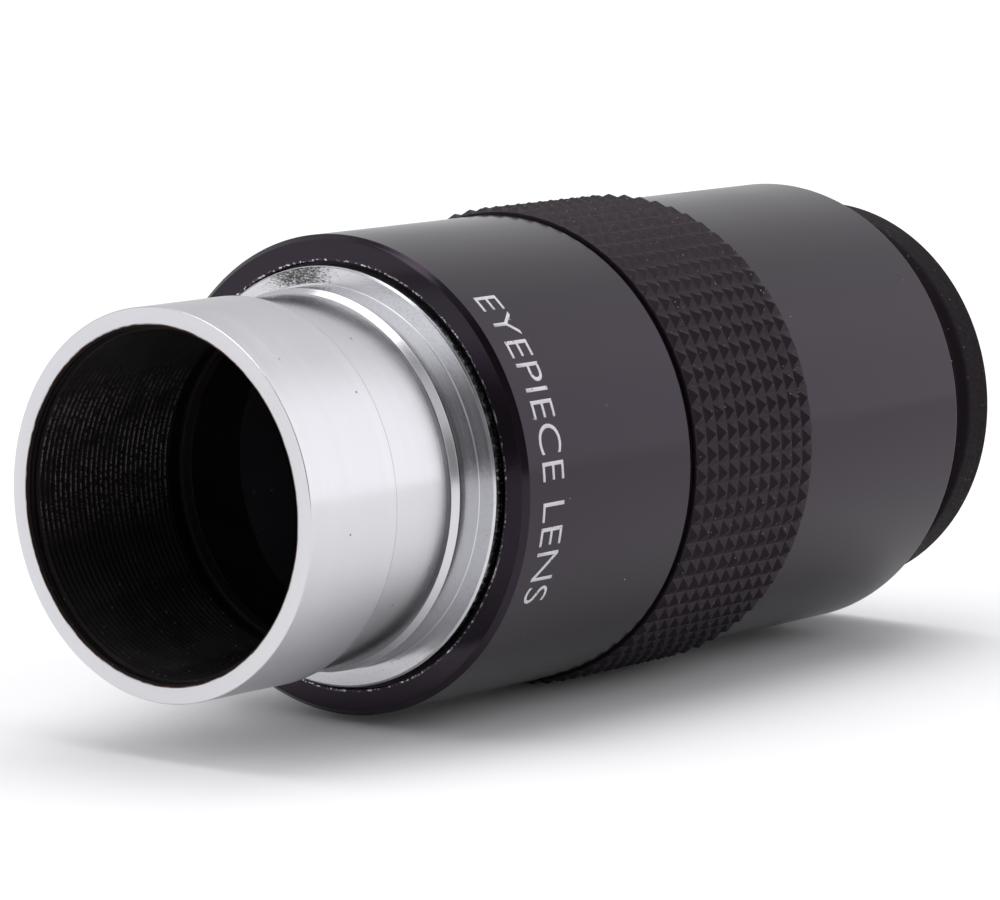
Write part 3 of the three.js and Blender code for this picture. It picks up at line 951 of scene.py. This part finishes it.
def studio():
    """Soft white walls and panels, brighter behind the eyepiece on its right and dim round the camera."""
    world = bpy.data.worlds.new("studio")
    world.use_nodes = True
    tree = world.node_tree
    tree.nodes.clear()

    def add(kind, inputs=None, **settings):
        node = tree.nodes.new(kind)
        for key, value in settings.items():
            setattr(node, key, value)
        for key, value in (inputs or {}).items():
            if isinstance(value, bpy.types.NodeSocket):
                tree.links.new(value, node.inputs[key])
            else:
                node.inputs[key].default_value = value
        return node

    def level(value, stops):
        """Brightness along a ramp; a stop is (position, brightness)."""
        ramp = add("ShaderNodeValToRGB", {"Fac": value})
        ramp.color_ramp.interpolation = "EASE"
        elements = ramp.color_ramp.elements
        elements.remove(elements[1])
        for i, (position, brightness) in enumerate(stops):
            element = elements[0] if i == 0 else elements.new(position)
            element.position = position
            element.color = (brightness / 2, brightness / 2, brightness / 2, 1)
        return add("ShaderNodeMath", {0: ramp.outputs["Color"], 1: 2.0}, operation="MULTIPLY").outputs[0]

    direction = add("ShaderNodeTexCoord").outputs["Generated"]
    parts = add("ShaderNodeSeparateXYZ", {0: direction}).outputs
    back = add("ShaderNodeMath", {0: parts["Y"], 1: -1.0}, operation="MULTIPLY").outputs[0]
    azimuth = add("ShaderNodeMath", {0: parts["X"], 1: back}, operation="ARCTAN2").outputs[0]
    turn = add("ShaderNodeMapRange", {
        "Value": azimuth, "From Min": -math.pi, "From Max": math.pi,
        "To Min": -180.0, "To Max": 180.0}).outputs[0]
    wrapped = add("ShaderNodeMath", {0: turn, 1: 360.0}, operation="FLOORED_MODULO").outputs[0]
    share = add("ShaderNodeMath", {0: wrapped, 1: 360.0}, operation="DIVIDE").outputs[0]
    height = add("ShaderNodeMath", {0: parts["Z"]}, operation="ARCSINE").outputs[0]

    def stops(pairs):
        return [(azimuth_degrees / 360, brightness) for azimuth_degrees, brightness in pairs]

    band = level(share, stops([
        (0, 0.55), (20, 0.26), (40, 0.18), (62, 0.22), (82, 0.5), (98, 1.2), (125, 1.45), (152, 1.35),
        (166, 1.08), (180, 0.88), (196, 0.78), (220, 0.70), (262, 0.60), (300, 0.85), (335, 0.80),
        (360, 0.55)]))
    high = level(share, stops([
        (0, 1.7), (12, 1.3), (24, 0.35), (36, 0.08), (48, 0.15), (64, 0.7), (82, 1.1), (98, 1.2),
        (125, 1.45), (152, 1.35), (166, 1.08), (180, 0.90), (196, 0.82), (220, 0.76), (262, 0.70),
        (300, 0.9), (335, 1.5), (360, 1.7)]))
    lift = add("ShaderNodeMapRange", {
        "Value": height, "From Min": math.radians(16), "From Max": math.radians(30), "To Min": 0.0,
        "To Max": 1.0}, interpolation_type="SMOOTHSTEP").outputs[0]
    walls = add("ShaderNodeMix", {0: lift, 2: band, 3: high}, data_type="FLOAT").outputs[0]
    ceiling = add("ShaderNodeMapRange", {
        "Value": height, "From Min": math.radians(50), "From Max": math.radians(62), "To Min": 0.0,
        "To Max": 1.0}, interpolation_type="SMOOTHSTEP").outputs[0]
    blend = add("ShaderNodeMix", {0: ceiling, 2: walls, 3: 0.30}, data_type="FLOAT").outputs[0]
    blue = add("ShaderNodeMath", {0: blend, 1: 1.025}, operation="MULTIPLY").outputs[0]
    colour = add("ShaderNodeCombineColor", {0: blend, 1: blend, 2: blue}).outputs[0]
    background = add("ShaderNodeBackground", {"Color": colour, "Strength": 1.0})
    tree.links.new(background.outputs[0], add("ShaderNodeOutputWorld").inputs["Surface"])
    bpy.context.scene.world = world


studio()


def soft_light(name, azimuth, elevation, distance, size, power):
    """A square panel aimed at the eyepiece."""
    a, e = math.radians(azimuth), math.radians(elevation)
    outward = Vector((math.sin(a) * math.cos(e), -math.cos(a) * math.cos(e), math.sin(e)))
    data = bpy.data.lights.new(name, "AREA")
    data.size = size
    data.energy = power
    light = bpy.data.objects.new(name, data)
    bpy.context.scene.collection.objects.link(light)
    light.location = outward * distance
    light.rotation_mode = "QUATERNION"
    light.rotation_quaternion = outward.to_track_quat("Z", "Y")
    return light


soft_light("key", 218, 83, 5.0, 4.6, 185.0)

view = bpy.context.scene.view_settings
view.view_transform = "Standard"
view.exposure = 0.0
